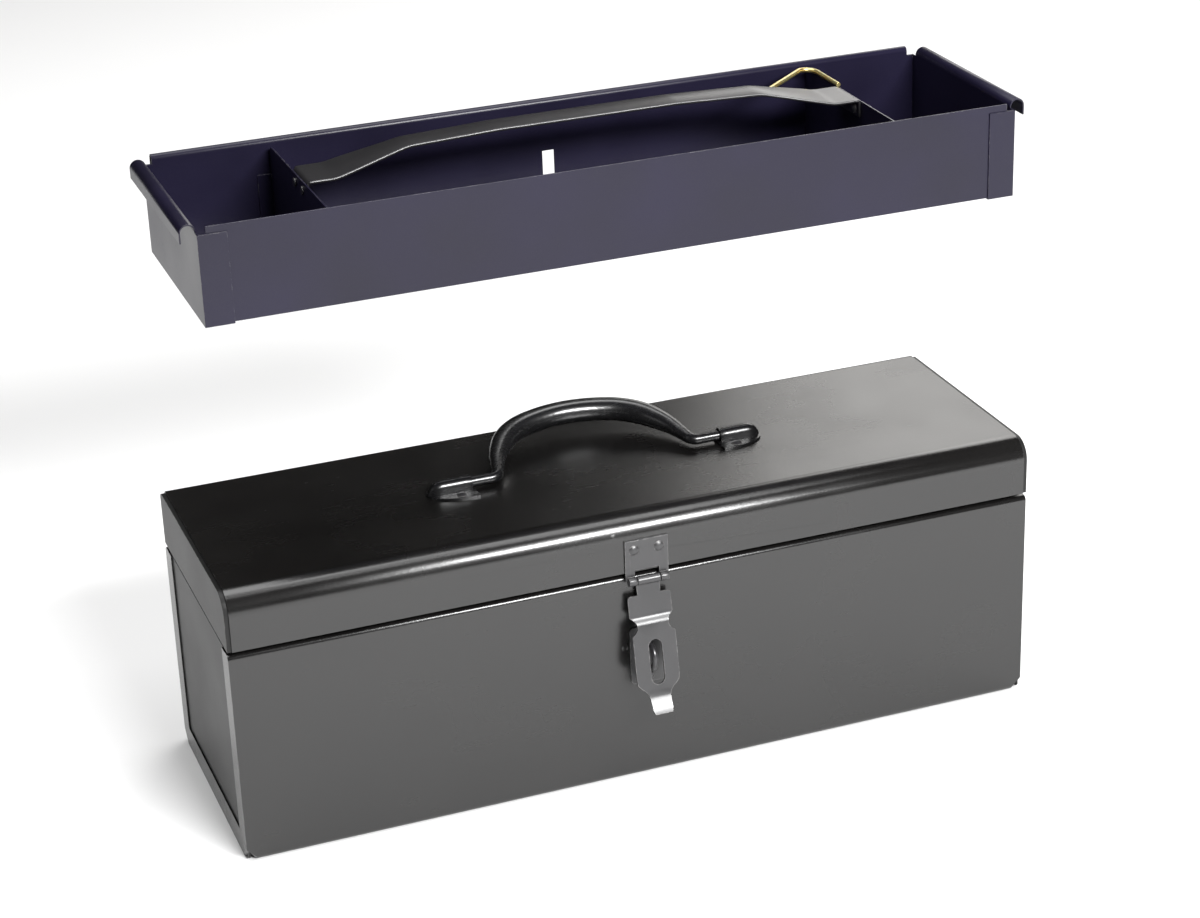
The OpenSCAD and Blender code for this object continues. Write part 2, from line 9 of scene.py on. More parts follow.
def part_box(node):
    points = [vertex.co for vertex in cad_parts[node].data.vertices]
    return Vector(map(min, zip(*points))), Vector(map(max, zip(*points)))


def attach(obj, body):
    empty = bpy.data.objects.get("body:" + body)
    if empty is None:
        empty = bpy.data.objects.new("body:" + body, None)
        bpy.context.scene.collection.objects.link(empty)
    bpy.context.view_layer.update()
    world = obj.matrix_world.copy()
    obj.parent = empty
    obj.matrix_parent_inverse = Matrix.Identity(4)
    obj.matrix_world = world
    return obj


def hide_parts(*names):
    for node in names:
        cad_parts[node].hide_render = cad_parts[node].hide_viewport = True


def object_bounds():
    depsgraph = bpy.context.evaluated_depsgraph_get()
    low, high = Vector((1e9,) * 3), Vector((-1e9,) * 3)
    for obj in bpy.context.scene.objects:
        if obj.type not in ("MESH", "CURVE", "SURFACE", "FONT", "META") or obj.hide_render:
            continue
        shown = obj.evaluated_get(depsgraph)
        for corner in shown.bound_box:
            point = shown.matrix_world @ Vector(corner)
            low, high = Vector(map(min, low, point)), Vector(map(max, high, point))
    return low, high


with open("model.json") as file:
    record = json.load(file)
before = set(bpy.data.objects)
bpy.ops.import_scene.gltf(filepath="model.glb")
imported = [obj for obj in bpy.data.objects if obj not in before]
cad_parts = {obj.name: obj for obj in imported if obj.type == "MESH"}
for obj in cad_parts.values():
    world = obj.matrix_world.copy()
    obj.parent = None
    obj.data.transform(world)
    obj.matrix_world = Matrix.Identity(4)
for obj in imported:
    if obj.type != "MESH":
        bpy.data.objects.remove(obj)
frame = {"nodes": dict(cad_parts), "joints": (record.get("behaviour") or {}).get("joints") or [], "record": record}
cad_lo, cad_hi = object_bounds()
MM = 0.001


# ---- places worked out from the frame ----

def joint(name):
    return next(j for j in frame["joints"] if j["name"] == name)


CASE_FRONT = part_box("case_wrap")[0].y
LID_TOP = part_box("lid_wrap")[1].z
TRAY_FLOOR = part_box("tray_shell")[0].z
HANDLE_PIVOT = Vector(joint("handle_pivot")["pos_m"])


# ---- shader maths ----

class Value:
    """One shader socket. Arithmetic on it adds Math nodes."""

    def __init__(self, nodes, socket):
        self.nodes = nodes
        self.socket = socket

    def maths(self, operation, a, b):
        return self.nodes.node("ShaderNodeMath", {"operation": operation}, {0: a, 1: b})

    def __add__(self, other):
        return self.maths("ADD", self, other)

    def __sub__(self, other):
        return self.maths("SUBTRACT", self, other)

    def __rsub__(self, other):
        return self.maths("SUBTRACT", other, self)

    def __mul__(self, other):
        return self.maths("MULTIPLY", self, other)

    __radd__ = __add__
    __rmul__ = __mul__


class Nodes:
    """An emptied node tree under construction."""

    def __init__(self, owner):
        owner.use_nodes = True
        self.tree = owner.node_tree
        self.tree.nodes.clear()

    def node(self, kind, settings=None, values=None, out=0):
        """Adds a node: its settings first, then the values or links of its sockets."""
        made = self.tree.nodes.new(kind)
        for key, setting in (settings or {}).items():
            if key == "stops":
                self.set_stops(made.color_ramp, setting)
            else:
                setattr(made, key, setting)
        for key, value in (values or {}).items():
            if isinstance(value, Value):
                self.tree.links.new(value.socket, made.inputs[key])
            else:
                made.inputs[key].default_value = value
        return Value(self, made.outputs[out]) if made.outputs else None

    @staticmethod
    def set_stops(ramp, stops):
        while len(ramp.elements) < len(stops):
            ramp.elements.new(1.0)
        for element, (place, shade) in zip(ramp.elements, stops):
            element.position = place
            element.color = (shade, shade, shade, 1.0)


class Finish(Nodes):
    """A material under construction, and the helpers that the finishes share."""

    def __init__(self, name):
        self.material = bpy.data.materials.new(name)
        super().__init__(self.material)

    def place(self, scale=(1, 1, 1)):
        """A point on the object in metres, stretched by scale."""
        coords = self.node("ShaderNodeTexCoord", out=3)
        return self.node("ShaderNodeMapping", values={"Vector": coords, "Scale": scale})

    def noise(self, size, detail=2.0, rough=0.5, stretch=(1, 1, 1), distortion=0.0):
        """Noise whose lumps are about this size, in metres."""
        return self.node("ShaderNodeTexNoise", values={
            "Vector": self.place(stretch), "Scale": 1 / size, "Detail": detail,
            "Roughness": rough, "Distortion": distortion})

    def cells(self, size, randomness=1.0):
        return self.node("ShaderNodeTexVoronoi", values={
            "Vector": self.place(), "Scale": 1 / size, "Randomness": randomness})

    def ramp(self, value, *stops):
        return self.node("ShaderNodeValToRGB", {"stops": stops}, {0: value})

    def blend(self, mask, below, above):
        """Colour below where mask is 0, colour above where it is 1."""
        return self.node("ShaderNodeMix", {"data_type": "RGBA"},
                         {0: mask, 6: below, 7: above}, out=2)

    def edges(self, radius):
        """1 on outer and inner edges that are sharper than radius, else 0."""
        soft = self.node("ShaderNodeBevel", {"samples": 6}, {"Radius": radius})
        flat = self.node("ShaderNodeNewGeometry", out=1)
        same = self.node("ShaderNodeVectorMath", {"operation": "DOT_PRODUCT"},
                         {0: soft, 1: flat}, out=1)
        return self.ramp(1 - same, (0.02, 0.0), (0.2, 1.0))

    def facing_up(self):
        normal = self.node("ShaderNodeNewGeometry", out=1)
        up = self.node("ShaderNodeVectorMath", {"operation": "DOT_PRODUCT"},
                       {0: normal, 1: (0, 0, 1)}, out=1)
        return self.ramp(up, (0.55, 0.0), (0.95, 1.0))

    def bump(self, height, strength, distance, normal=None):
        values = {"Height": height, "Strength": strength, "Distance": distance}
        if normal:
            values["Normal"] = normal
        return self.node("ShaderNodeBump", values=values)

    def surface(self, values):
        """Ends the material with one Principled surface."""
        shader = self.node("ShaderNodeBsdfPrincipled", values=values)
        self.node("ShaderNodeOutputMaterial", values={"Surface": shader})
        return self.material


def rgb(red, green, blue):
    return (red, green, blue, 1.0)


STEEL = rgb(0.42, 0.41, 0.40)
DUST = rgb(0.23, 0.22, 0.20)
PALE_SPECK = rgb(0.03, 0.03, 0.032)

# The small marks of the spot welds, on the lid's skirt, the case's front and under the tray.
LID_FRONT = CASE_FRONT - MM
WELDS_ON_LID = [(-0.234, LID_FRONT, 0.140), (-0.019, LID_FRONT, 0.155), (0.032, LID_FRONT, 0.142)]
WELDS_ON_CASE = [(-0.014, CASE_FRONT, 0.084), (-0.232, CASE_FRONT, 0.030),
                 (0.231, CASE_FRONT, 0.030), (0.105, CASE_FRONT, 0.030)]
WELDS_ON_TRAY = [(x, y, TRAY_FLOOR) for x in (-0.205, 0.205) for y in (0.045, -0.045)]


def spot_welds(f):
    """1 at the middle of each small weld mark, falling to 0 at its rim."""
    mark_r = 0.0025
    marks = 0.0
    for place in WELDS_ON_LID + WELDS_ON_CASE + WELDS_ON_TRAY:
        away = f.node("ShaderNodeVectorMath", {"operation": "DISTANCE"},
                      {0: f.place(), 1: place}, out=1)
        marks = f.ramp(away * (1 / mark_r), (0.2, 1.0), (0.8, 0.0)) + marks
    return marks


def powder_coat(name, paint, shade, roughness, gloss, peel, wear, dust):
    """Baked powder: orange peel, fine speckle, cloudy gloss, faint rubs and worn edges."""
    f = Finish(name)
    cloud = f.noise(size=0.07, detail=3)
    speckle = f.noise(size=0.0006, detail=1)
    peel_lumps = f.noise(size=0.0017, detail=2, rough=0.45)
    rub_lines = f.noise(size=0.004, detail=4, rough=0.65, stretch=(0.12, 1.0, 1.0), distortion=0.6)
    rubs = f.ramp(rub_lines, (0.56, 0.0), (0.74, 1.0)) * f.ramp(cloud, (0.42, 0.0), (0.62, 1.0))
    tint = f.blend(f.ramp(cloud, (0.3, 0.0), (0.7, 1.0)), paint, shade)
    tint = f.blend(f.ramp(speckle, (0.55, 0.0), (0.75, 1.0)) * 0.15, tint, PALE_SPECK)
    patches = f.ramp(f.noise(size=0.02, detail=5, rough=0.7), (0.4, 0.0), (0.8, 1.0))
    settled = f.facing_up() * patches * dust
    tint = f.blend(settled, tint, DUST)
    chips = f.ramp(f.noise(size=0.005, detail=4, rough=0.7), (0.5, 0.0), (0.6, 1.0))
    bare = f.edges(radius=0.0007) * chips * wear
    tint = f.blend(bare, tint, STEEL)
    rough = (cloud - 0.5) * 0.14 + roughness + rubs * 0.03 + settled * 0.5 - bare * 0.12
    grain = f.bump(speckle, strength=0.10, distance=0.0001)
    welded = f.bump(spot_welds(f), strength=0.22, distance=0.0007, normal=grain)
    orange_peel = f.bump(peel_lumps, strength=peel, distance=0.0002, normal=welded)
    return f.surface({
        "Base Color": tint, "Roughness": rough, "Metallic": bare,
        "Specular IOR Level": gloss, "Normal": orange_peel})


def gloss_enamel():
    """Dipped black enamel: deep gloss with soft runs, hairline rubs and a few nicks."""
    f = Finish("gloss_black_enamel")
    flow = f.noise(size=0.011, detail=2)
    hairs = f.noise(size=0.0022, detail=5, rough=0.7, stretch=(0.08, 1.0, 1.0), distortion=0.4)
    rubbed = f.ramp(hairs, (0.5, 0.0), (0.72, 1.0))
    chips = f.ramp(f.noise(size=0.004, detail=4, rough=0.7), (0.56, 0.0), (0.63, 1.0))
    bare = f.edges(radius=0.0006) * chips * 0.6
    tint = f.blend(rubbed * 0.2, rgb(0.005, 0.005, 0.0055), rgb(0.016, 0.016, 0.017))
    tint = f.blend(bare, tint, STEEL)
    rough = rubbed * 0.06 + f.noise(size=0.03, detail=2) * 0.08 + 0.22
    return f.surface({
        "Base Color": tint, "Roughness": rough, "Metallic": bare,
        "Specular IOR Level": 0.9, "Normal": f.bump(flow, strength=0.25, distance=0.0006)})


def worn_hardware(name, wear, roughness):
    """Thin paint on stamped steel: rubbed edges, drawing lines and small pits."""
    f = Finish(name)
    lines = f.noise(size=0.0012, detail=4, rough=0.6, stretch=(1.0, 1.0, 0.07))
    pits = f.ramp(f.cells(0.0016), (0.0, 0.0), (0.16, 1.0))
    cloud = f.noise(size=0.016, detail=3)
    chips = f.ramp(f.noise(size=0.003, detail=5, rough=0.7), (0.42, 0.0), (0.58, 1.0))
    bare = f.edges(radius=0.0009) * chips * wear
    scrapes = f.ramp(lines, (0.66, 0.0), (0.74, 1.0)) * f.ramp(cloud, (0.5, 0.0), (0.7, 1.0))
    bare = bare + scrapes * wear * 0.35
    tint = f.blend(cloud, rgb(0.010, 0.010, 0.011), rgb(0.022, 0.021, 0.023))
    tint = f.blend(bare, tint, STEEL)
    rough = (cloud - 0.5) * 0.2 + roughness - bare * 0.1
    tool_marks = f.bump(lines, strength=0.12, distance=0.0002)
    pitted = f.bump(pits, strength=0.15, distance=0.0002, normal=tool_marks)
    return f.surface({
        "Base Color": tint, "Roughness": rough, "Metallic": bare,
        "Specular IOR Level": 0.9, "Normal": pitted})


def yellow_zinc():
    """Yellow passivated wire: drawn lines, pink and green clouds, dull spots."""
    f = Finish("yellow_zinc_wire")
    cloud = f.noise(size=0.006, detail=3)
    lines = f.noise(size=0.0008, detail=3, rough=0.6, stretch=(0.1, 0.1, 1.0))
    tint = f.blend(f.ramp(cloud, (0.35, 0.0), (0.65, 1.0)),
                   rgb(0.66, 0.48, 0.17), rgb(0.60, 0.58, 0.30))
    tint = f.blend(f.ramp(f.noise(size=0.003, detail=4), (0.6, 0.0), (0.75, 1.0)) * 0.5,
                   tint, rgb(0.30, 0.24, 0.13))
    return f.surface({
        "Base Color": tint, "Metallic": 0.9, "Roughness": lines * 0.2 + 0.25,
        "Normal": f.bump(lines, strength=0.2, distance=0.0002)})


FINISHES = {
    "box_sheet": powder_coat(
        "satin_black_powder", paint=rgb(0.0032, 0.0029, 0.0028), shade=rgb(0.0052, 0.0048, 0.0046),
        roughness=0.26, gloss=0.78, peel=0.16, wear=0.25, dust=0.008),
    "end_sheet": powder_coat(
        "satin_black_powder_ends", paint=rgb(0.005, 0.005, 0.005), shade=rgb(0.008, 0.008, 0.008),
        roughness=0.46, gloss=0.35, peel=0.18, wear=0.25, dust=0.010),
    "tray_sheet": powder_coat(
        "blue_black_powder", paint=rgb(0.0060, 0.0048, 0.015), shade=rgb(0.0090, 0.0072, 0.023),
        roughness=0.34, gloss=0.33, peel=0.14, wear=0.3, dust=0.010),
    "tray_strap": powder_coat(
        "satin_black_strap", paint=rgb(0.010, 0.010, 0.011), shade=rgb(0.016, 0.015, 0.017),
        roughness=0.33, gloss=0.9, peel=0.12, wear=0.4, dust=0.015),
    "hardware": worn_hardware("painted_hardware", wear=0.55, roughness=0.36),
    "pin_steel": worn_hardware("rubbed_pins", wear=0.8, roughness=0.30),
    "rivet": worn_hardware("painted_rivets", wear=0.5, roughness=0.40),
    "handle_gloss": gloss_enamel(),
    "zinc_wire": yellow_zinc(),
}


# ---- mesh work ----

def piece(name, mesh_work, body, slot, replaces=()):
    """Turns finished mesh work into a piece that rides on a body and stands for CAD nodes."""
    mesh = bpy.data.meshes.new(name)
    bmesh.ops.recalc_face_normals(mesh_work, faces=mesh_work.faces)
    mesh_work.to_mesh(mesh)
    mesh_work.free()
    mesh.shade_smooth()
    made = bpy.data.objects.new(name, mesh)
    bpy.context.scene.collection.objects.link(made)
    mesh.materials.append(FINISHES[slot])
    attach(made, body)
    if replaces:
        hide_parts(*replaces)
    return made


def loft(mesh_work, rings, closed=False):
    """Skins rings of equal length, with a cap on each end unless the loft is closed."""
    rows = [[mesh_work.verts.new(p) for p in ring] for ring in rings]
    count = len(rows[0])
    pairs = list(zip(rows, rows[1:]))
    if closed:
        pairs.append((rows[-1], rows[0]))
    for row, following in pairs:
        for i in range(count):
            j = (i + 1) % count
            mesh_work.faces.new((row[i], row[j], following[j], following[i]))
    if not closed:
        mesh_work.faces.new(rows[0])
        mesh_work.faces.new(rows[-1])


def rounded_route(points, radii, steps=8):
    """A route through points whose corners are eased into arcs of the given radii."""
    route = [Vector(points[0])]
    for before, corner, after, radius in zip(points, points[1:], points[2:], radii):
        corner = Vector(corner)
        back = (Vector(before) - corner).normalized()
        ahead = (Vector(after) - corner).normalized()
        half = back.angle(ahead) / 2
        reach = radius / math.tan(half)
        start, end = corner + back * reach, corner + ahead * reach
        hub = corner + (back + ahead).normalized() * (radius / math.sin(half))
        for i in range(steps + 1):
            spoke = (start - hub).lerp(end - hub, i / steps)
            route.append(hub + spoke.normalized() * radius)
    route.append(Vector(points[-1]))
    return route


def spaced(route, step):
    """The same route with extra points, none further apart than step."""
    full = [route[0]]
    for a, b in zip(route, route[1:]):
        count = max(1, math.ceil((b - a).length / step))
        full += [a.lerp(b, i / count) for i in range(1, count + 1)]
    return full


def direction(route, i):
    """The way that the route runs at its point i."""
    return (route[min(i + 1, len(route) - 1)] - route[max(i - 1, 0)]).normalized()


def tube(route, radius_at, side, sides):
    """Rings round a flat route; side is the direction across the plane that it lies in."""
    length = [0.0]
    for a, b in zip(route, route[1:]):
        length.append(length[-1] + (b - a).length)
    turns = [2 * math.pi * k / sides for k in range(sides)]
    rings = []
    for i, point in enumerate(route):
        out = direction(route, i).cross(side).normalized()
        radius = radius_at(length[i] / length[-1])
        rings.append([point + (side * math.cos(t) + out * math.sin(t)) * radius for t in turns])
    return rings


def smoothstep(low, high, value):
    t = min(max((value - low) / (high - low), 0.0), 1.0)
    return t * t * (3 - 2 * t)


def wall(mesh_work, outline, thickness, along):
    """Gives a flat outline its thickness, in the direction along."""
    face = mesh_work.faces.new([mesh_work.verts.new(p) for p in outline])
    grown = bmesh.ops.extrude_face_region(mesh_work, geom=[face])["geom"]
    risen = [v for v in grown if isinstance(v, bmesh.types.BMVert)]
    bmesh.ops.translate(mesh_work, verts=risen, vec=Vector(along) * thickness)


def arc(centre, radius, start, stop, steps):
    """Points of an arc in a plane, its angles in degrees."""
    turns = [math.radians(start + (stop - start) * i / steps) for i in range(steps + 1)]
    return [(centre[0] + radius * math.cos(t), centre[1] + radius * math.sin(t)) for t in turns]


def round_edges(made, radius, segments=3, angle=30):
    """Rounds a piece's sharp edges with true geometry."""
    edge = made.modifiers.new("rounded_edges", "BEVEL")
    edge.width = radius
    edge.segments = segments
    edge.limit_method = "ANGLE"
    edge.angle_limit = math.radians(angle)
    edge.harden_normals = True


# ---- the carry handle ----

# Half the bail's middle line and its bends are in millimetres, as (x, rise) from the pivot.
HANDLE_LEAN = math.radians(80)
ROD_R = 3 * MM
GRIP_R = 7 * MM
CLIP_MOUTH = 77 * MM
CLIP_NOSE = 102.5 * MM
BAIL_FOOT, BAIL_HEEL, BAIL_SHIN, BAIL_SHOULDER = (94, 0), (60.5, 0), (54, 20), (40, 43)
BAIL_CROWN = (0, 55.3)
BAIL_BENDS = [5.5, 60, 42, 78, 42, 60, 5.5]


def make_handle():
    """The bent bail: thin ends, a quick bend up, a swelling neck and a thick curved grip."""
    half = [BAIL_FOOT, BAIL_HEEL, BAIL_SHIN, BAIL_SHOULDER]
    corners = half + [BAIL_CROWN] + [(-x, z) for x, z in reversed(half)]
    flat = rounded_route([(x * MM, 0, z * MM) for x, z in corners],
                         [bend * MM for bend in BAIL_BENDS], steps=10)
    lean = Matrix.Translation(HANDLE_PIVOT) @ Matrix.Rotation(-HANDLE_LEAN, 4, "X")
    route = [lean @ p for p in spaced(flat, 2 * MM)]

    def radius_at(share):
        edge = min(share, 1 - share)
        swell = smoothstep(0.10, 0.33, edge)
        end_chamfer = 0.8 + 0.2 * smoothstep(0.0, 0.004, edge)
        return (ROD_R + (GRIP_R - ROD_R) * swell) * end_chamfer

    mesh_work = bmesh.new()
    across = lean.to_3x3() @ Vector((0, 1, 0))
    loft(mesh_work, tube(route, radius_at, across, sides=40))
    piece("handle_bail", mesh_work, "handle", "handle_gloss", ["handle_grip"])


FOOT_T = 1.2 * MM
HOOD_T = 1.2 * MM
FOOT_HALF_W = 13.5 * MM
FOOT_BACK = CLIP_MOUTH - 1.5 * MM
FOOT_L = CLIP_NOSE + 1 * MM - FOOT_BACK
HOOD_BORE = ROD_R + 0.1 * MM
ROD_RISE = HANDLE_PIVOT.z - LID_TOP - FOOT_T


def hood_section(radius, x, shrink, lip):
    """An arch over the rod with straight skirts, as half a hood's ring."""
    crown = [(y, z + ROD_RISE) for y, z in arc((0, 0), radius, 0, 180, 16)]
    skirt = [(radius * 1.12, 0.0)] + crown + [(-radius * 1.12, 0.0)]
    return [(x, y * shrink * lip, LID_TOP + FOOT_T + z * shrink) for y, z in skirt]


def hood_rings(side, count=21):
    """The hood from its flared mouth to its closed nose."""
    nose_start, mouth_flare, mouth_share = 0.66, 0.1, 0.08
    rings = []
    for i in range(count):
        along = i / (count - 1)
        x = side * (CLIP_MOUTH + (CLIP_NOSE - CLIP_MOUTH) * along)
        close = max(0.0, (along - nose_start) / (1 - nose_start))
        shrink = math.sqrt(max(1 - close ** 2, 0.04))
        lip = 1 + mouth_flare * max(0.0, 1 - along / mouth_share)
        outside = hood_section(HOOD_BORE + HOOD_T, x, shrink, lip)
        inside = hood_section(HOOD_BORE, x, shrink, lip)
        rings.append(outside + inside[::-1])
    return rings


def make_clip(side, name, stands_for):
    """A bullet-shaped foot with a pressed hood that holds one end of the bail."""
    nose = arc((0, 0), 1.0, 90, -90, 24)
    outline = [(side * (FOOT_BACK + FOOT_L * x), FOOT_HALF_W * y, LID_TOP) for x, y in nose]
    mesh_work = bmesh.new()
    wall(mesh_work, outline, FOOT_T, (0, 0, 1))
    loft(mesh_work, hood_rings(side))
    made = piece(name, mesh_work, "lid", "handle_gloss", [stands_for])
    round_edges(made, 0.3 * MM, segments=2)


make_handle()
make_clip(-1, "handle_hood_left", "handle_clip_left")
make_clip(1, "handle_hood_right", "handle_clip_right")


# ---- the hasp's strap ----

# The strap is drawn flat in millimetres, as (x, drop below the pin), and then bent and stood up.
HASP_PIN = Vector(joint("hasp_pivot")["pos_m"])
HASP_AJAR = math.radians(11)
HASP_PLATE_T = 1.2
HASP_SEAT = 1.4
CREASE_STEP, CREASE_START, CREASE_END = 2.0, 21.5, 26.5
TAB_KICK, TAB_START, TAB_END = 4.48, 66, 82
SLOT_R, SLOT_HALF_L, SLOT_DROP = 4, 9.4, 49
BEND_LINES = (20, 21.5, 22.5, 23.5, 24.5, 25.5, 27, 30, 35, 45, 55, 65, 69, 70.5, 72, 74, 76, 78)


def strap_outline():
    """The right half of the strap's outline, from the neck down to the tab."""
    neck = [(7, 1), (7, 9), (9.5, 9)]
    shoulder = [(x, -z) for x, z in arc((11, -11), 2, 90, 0, 4)]
    notch = [(x, -z) for x, z in arc((14.4, -27), 5, 134, 226, 10)]
    foot = [(13, 58), (12.4, 61.5), (10.6, 63.6), (8.6, 65.2), (7, 67.4), (6.2, 70)]
    tab = [(6, 76.5), (5.2, 79)]
    return neck + shoulder + [(13, 21.6)] + notch + [(13, 32.4)] + foot + tab


def slot_outline():
    """The slot that goes over the staple."""
    upper = [(x, SLOT_DROP - SLOT_HALF_L - z) for x, z in arc((0, 0), SLOT_R, 0, 180, 12)]
    lower = [(x, SLOT_DROP + SLOT_HALF_L - z) for x, z in arc((0, 0), SLOT_R, 180, 360, 12)]
    return upper + lower


def make_hasp_strap():
    """The swinging strap: neck, pressed crease, slot and a kicked-out tab."""
    half = strap_outline()
    outline = half + [(-x, z) for x, z in reversed(half)]
    mesh_work = bmesh.new()
    rims = []
    for loop in (outline, slot_outline()):
        corners = [mesh_work.verts.new((x, 0, -z)) for x, z in loop]
        rims += [mesh_work.edges.new((a, b)) for a, b in zip(corners, corners[1:] + corners[:1])]
    bmesh.ops.triangle_fill(mesh_work, use_beauty=True, edges=rims)
    for drop in BEND_LINES:
        everything = mesh_work.verts[:] + mesh_work.edges[:] + mesh_work.faces[:]
        bmesh.ops.bisect_plane(mesh_work, geom=everything, plane_co=(0, 0, -drop),
                               plane_no=(0, 0, 1))
    for v in mesh_work.verts:
        crease = CREASE_STEP * smoothstep(CREASE_START, CREASE_END, -v.co.z)
        kick = TAB_KICK * smoothstep(TAB_START, TAB_END, -v.co.z)
        v.co.y = HASP_SEAT + HASP_PLATE_T / 2 - (crease + kick)
    turn = Matrix.Rotation(-HASP_AJAR, 4, "X")
    stand = Matrix.Translation(HASP_PIN) @ turn @ Matrix.Scale(MM, 4)
    bmesh.ops.transform(mesh_work, matrix=stand, verts=mesh_work.verts)
    made = piece("hasp_plate", mesh_work, "hasp", "hardware", ["hasp_strap"])
    thick = made.modifiers.new("plate_gauge", "SOLIDIFY")
    thick.thickness = HASP_PLATE_T * MM
    thick.offset = 0
    round_edges(made, 0.32 * MM)


def make_hasp_barrel():
    """The strap's rolled knuckle round the pin."""
    inner, outer, half_l, eased, sides = 1.31, 2.6, 7.0, 0.4, 40
    section = [(-half_l, inner), (-half_l, outer - eased), (-half_l + eased, outer),
               (half_l - eased, outer), (half_l, outer - eased), (half_l, inner)]
    turns = [2 * math.pi * k / sides for k in range(sides)]
    rings = [[HASP_PIN + Vector((x, r * math.cos(t), r * math.sin(t))) * MM for x, r in section]
             for t in turns]
    mesh_work = bmesh.new()
    loft(mesh_work, rings, closed=True)
    made = piece("hasp_knuckle", mesh_work, "hasp", "hardware")
    round_edges(made, 0.2 * MM, segments=2)


make_hasp_strap()
make_hasp_barrel()


# ---- the tray's strap handle and bare wire ----

STRAP_LO, STRAP_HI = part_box("tray_strap_handle")
STRAP_T = 1.5 * MM
STRAP_FOLD = 9 * MM
STRAP_END = STRAP_HI.x - STRAP_T / 2
STRAP_DECK = STRAP_LO.z + STRAP_FOLD + STRAP_T / 2
LANDING_END = STRAP_END - 16 * MM
RAMP_END = LANDING_END - 42 * MM
STRAP_BENDS = [2.2, 26, 34, 90, 90, 34, 26, 2.2]
STRAP_ACROSS = [-1, -0.985, -0.95, -0.8, -0.5, 0, 0.5, 0.8, 0.95, 0.985, 1]


def strap_route():
    """The strap's side view: folded ends, flat landings, ramps and a crowned middle."""
    top = STRAP_HI.z
    half = [(STRAP_END, STRAP_LO.z), (STRAP_END, STRAP_DECK), (LANDING_END, STRAP_DECK),
            (RAMP_END, top - 2.9 * MM), (RAMP_END * 0.5, top - STRAP_T / 2 - 0.2 * MM)]
    corners = half + [(-x, z) for x, z in reversed(half)]
    bends = [bend * MM for bend in STRAP_BENDS]
    return spaced(rounded_route([(x, 0, z) for x, z in corners], bends), 3 * MM)


def strap_section(point, out):
    """The strap's cross section: wide and flat at the ends, narrow and arched between."""
    wide = smoothstep(RAMP_END - 6 * MM, LANDING_END + 4 * MM, abs(point.x))
    trim = 1.0 if abs(point.x) < STRAP_END - 1 * MM else 0.93
    half_w = (9 + 6 * wide) * MM * trim
    arch = 0.9 * MM * (1 - wide)

    def level(y, offset):
        eased = 0.35 if abs(y) == 1 else 1
        return point + Vector((0, y * half_w, 0)) + out * (offset * eased - arch * y * y)

    upper = [level(y, STRAP_T / 2) for y in STRAP_ACROSS]
    lower = [level(y, -STRAP_T / 2) for y in STRAP_ACROSS]
    return upper + lower[::-1]


def make_strap_handle():
    """One flat strip, bent to carry the tray."""
    route = strap_route()
    rings = []
    for i, point in enumerate(route):
        out = Vector((0, 1, 0)).cross(direction(route, i)).normalized()
        rings.append(strap_section(point, out))
    mesh_work = bmesh.new()
    loft(mesh_work, rings)
    piece("tray_strap", mesh_work, "tray", "tray_strap", ["tray_strap_handle"])


def make_wire_brace():
    """Bare wire with an eased bend at the tray's back corner."""
    wire_r, bend_r, front_y = 1.4 * MM, 6 * MM, 16.8 * MM
    lo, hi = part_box("tray_wire_brace")
    corner = Vector((hi.x - wire_r, hi.y - wire_r, lo.z + wire_r))
    near_end = Vector((corner.x, front_y, corner.z))
    far_end = Vector((lo.x + wire_r, lo.y + wire_r, hi.z - wire_r))
    route = spaced(rounded_route([near_end, corner, far_end], [bend_r], steps=12), 3 * MM)
    side = (near_end - corner).cross(far_end - corner).normalized()
    mesh_work = bmesh.new()
    loft(mesh_work, tube(route, lambda share: wire_r, side, sides=20))
    made = piece("tray_brace", mesh_work, "tray", "zinc_wire", ["tray_wire_brace"])
    round_edges(made, 0.3 * MM, segments=2, angle=50)


make_strap_handle()
make_wire_brace()


# ---- sheet edges of the carried-over nodes ----

def soften(node, radius):
    """Rounds a CAD node's sharp edges a little, as folded and painted sheet has them."""
    weld = node.modifiers.new("join_seams", "WELD")
    weld.merge_threshold = 0.01 * MM
    edge = node.modifiers.new("painted_edges", "BEVEL")
    edge.width = radius
    edge.segments = 2
    edge.limit_method = "ANGLE"
    edge.angle_limit = math.radians(35)
    edge.use_clamp_overlap = True
    edge.harden_normals = True


EDGE_RADII = {"box_sheet": 0.25 * MM, "end_sheet": 0.25 * MM, "tray_sheet": 0.2 * MM,
              "hardware": 0.3 * MM}

for part in frame["record"]["subparts"]:
    node = frame["nodes"][part["node"]]
    slot = part["material_slot"]
    node.data.materials.clear()
    node.data.materials.append(FINISHES[slot])
    if slot in EDGE_RADII:
        soften(node, EDGE_RADII[slot])


# ---- the floor, the lights and the camera ----

def pale_floor():
    """A wide pale studio floor, faintly mottled, a hair below the box."""
    half_w, drop = 2.1, 0.3 * MM
    mesh_work = bmesh.new()
    bmesh.ops.create_grid(mesh_work, x_segments=8, y_segments=8, size=half_w)
    mesh = bpy.data.meshes.new("studio_floor")
    mesh_work.to_mesh(mesh)
    mesh_work.free()
    floor = bpy.data.objects.new("studio_floor", mesh)
    floor.location.z = -drop
    bpy.context.scene.collection.objects.link(floor)
    f = Finish("pale_floor")
    tint = f.blend(f.noise(size=0.4, detail=3), rgb(0.86, 0.86, 0.86), rgb(0.88, 0.88, 0.88))
    mesh.materials.append(f.surface({"Base Color": tint, "Roughness": 0.75}))


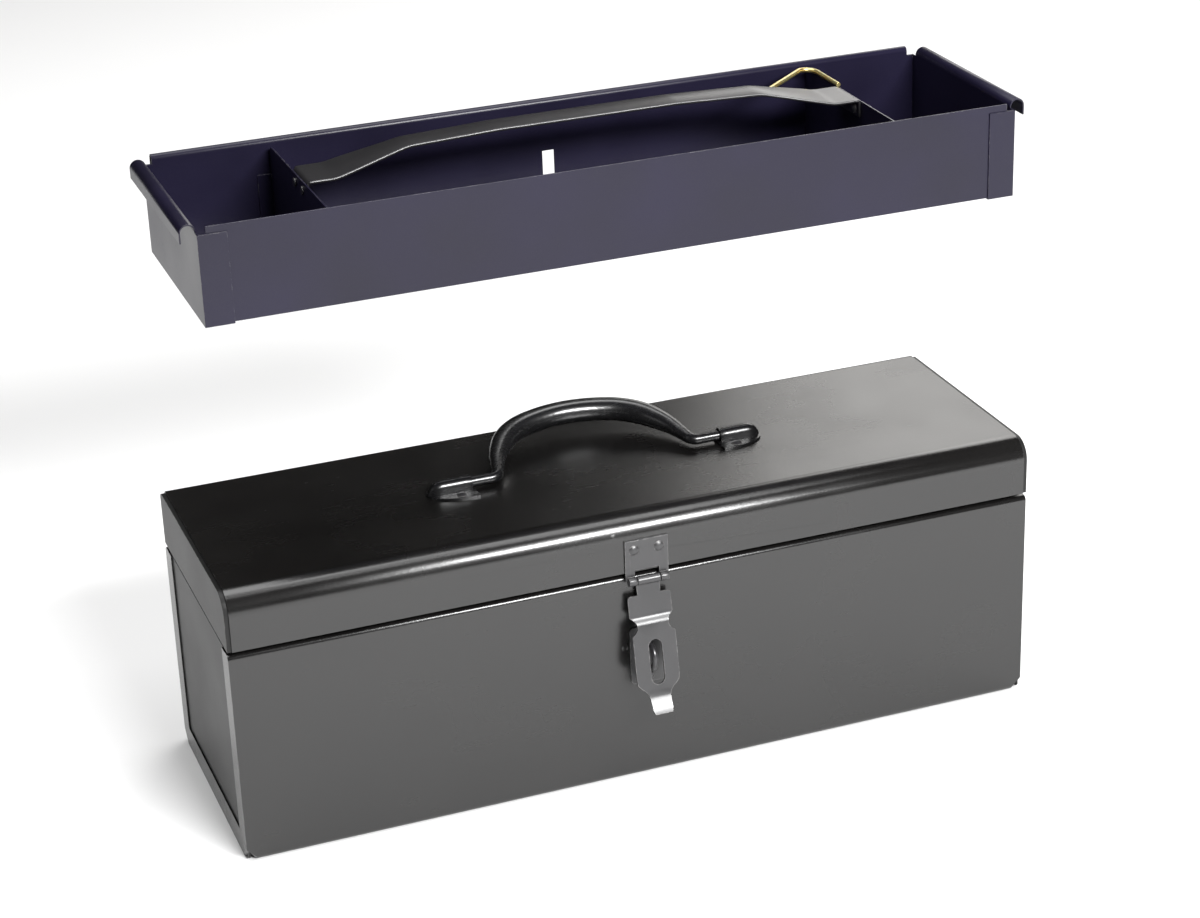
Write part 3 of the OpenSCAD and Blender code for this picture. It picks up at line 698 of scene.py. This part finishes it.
def softbox(name, place, target, size, power, tint=(1, 1, 1)):
    """An area light at place, turned to target; size in metres, power in watts."""
    lamp = bpy.data.lights.new(name, "AREA")
    lamp.shape = "RECTANGLE"
    lamp.size, lamp.size_y = size
    lamp.energy = power
    lamp.color = tint
    box = bpy.data.objects.new(name, lamp)
    box.location = place
    aim = Vector(target) - Vector(place)
    box.rotation_mode = "QUATERNION"
    box.rotation_quaternion = aim.to_track_quat("-Z", "Y")
    box.visible_camera = False
    bpy.context.scene.collection.objects.link(box)


def room():
    """A dark room for the reflections; only the camera sees it pale."""
    world = bpy.data.worlds.new("studio_world")
    bpy.context.scene.world = world
    nodes = Nodes(world)
    seen = nodes.node("ShaderNodeLightPath", out="Is Camera Ray")
    dark = nodes.node("ShaderNodeBackground", values={"Color": rgb(0.018, 0.017, 0.016)})
    pale = nodes.node("ShaderNodeBackground", values={"Color": rgb(0.95, 0.95, 0.95)})
    mixed = nodes.node("ShaderNodeMixShader", values={0: seen, 1: dark, 2: pale})
    nodes.node("ShaderNodeOutputWorld", values={"Surface": mixed})


def lights():
    """Overhead light, a front box for the lid's bend, one mirrored in the lid, a faint fill."""
    centre = (cad_lo + cad_hi) / 2
    lid_right_half = (0.2, 0.0, LID_TOP)
    softbox("overhead_box", (0.0, 0.3, 3.2), centre, (3.6, 2.4), 122)
    softbox("front_box", (0.5, -2.04, 1.5), centre, (1.3, 0.4), 115)
    softbox("back_right_box", (1.52, 1.88, 1.14), lid_right_half, (1.2, 1.0), 11,
            tint=(1.0, 0.985, 0.96))
    softbox("left_box", (-2.6, -0.6, 1.2), centre, (0.9, 1.2), 2)


CAMERA_PLACE = (-0.505, -1.394, 0.838)
CAMERA_TURN, CAMERA_TILT, CAMERA_ROLL = math.radians(-20.0), math.radians(24.3), math.radians(-2.1)


def camera():
    """The standard three-quarter view: long lens, from the front left and above."""
    back = Vector((math.sin(CAMERA_TURN) * math.cos(CAMERA_TILT),
                   -math.cos(CAMERA_TURN) * math.cos(CAMERA_TILT), math.sin(CAMERA_TILT)))
    across = (-back).cross(Vector((0, 0, 1))).normalized()
    rise = across.cross(-back)
    right = across * math.cos(CAMERA_ROLL) + rise * math.sin(CAMERA_ROLL)
    up = rise * math.cos(CAMERA_ROLL) - across * math.sin(CAMERA_ROLL)
    lens = bpy.data.cameras.new("camera")
    lens.lens = 84.1
    lens.clip_start, lens.clip_end = 0.05, 50
    made = bpy.data.objects.new("camera", lens)
    bpy.context.scene.collection.objects.link(made)
    turned = Matrix((right, up, back)).transposed().to_4x4()
    made.matrix_world = Matrix.Translation(CAMERA_PLACE) @ turned
    bpy.context.scene.camera = made


pale_floor()
room()
lights()
camera()
bpy.context.scene.view_settings.view_transform = "Standard"
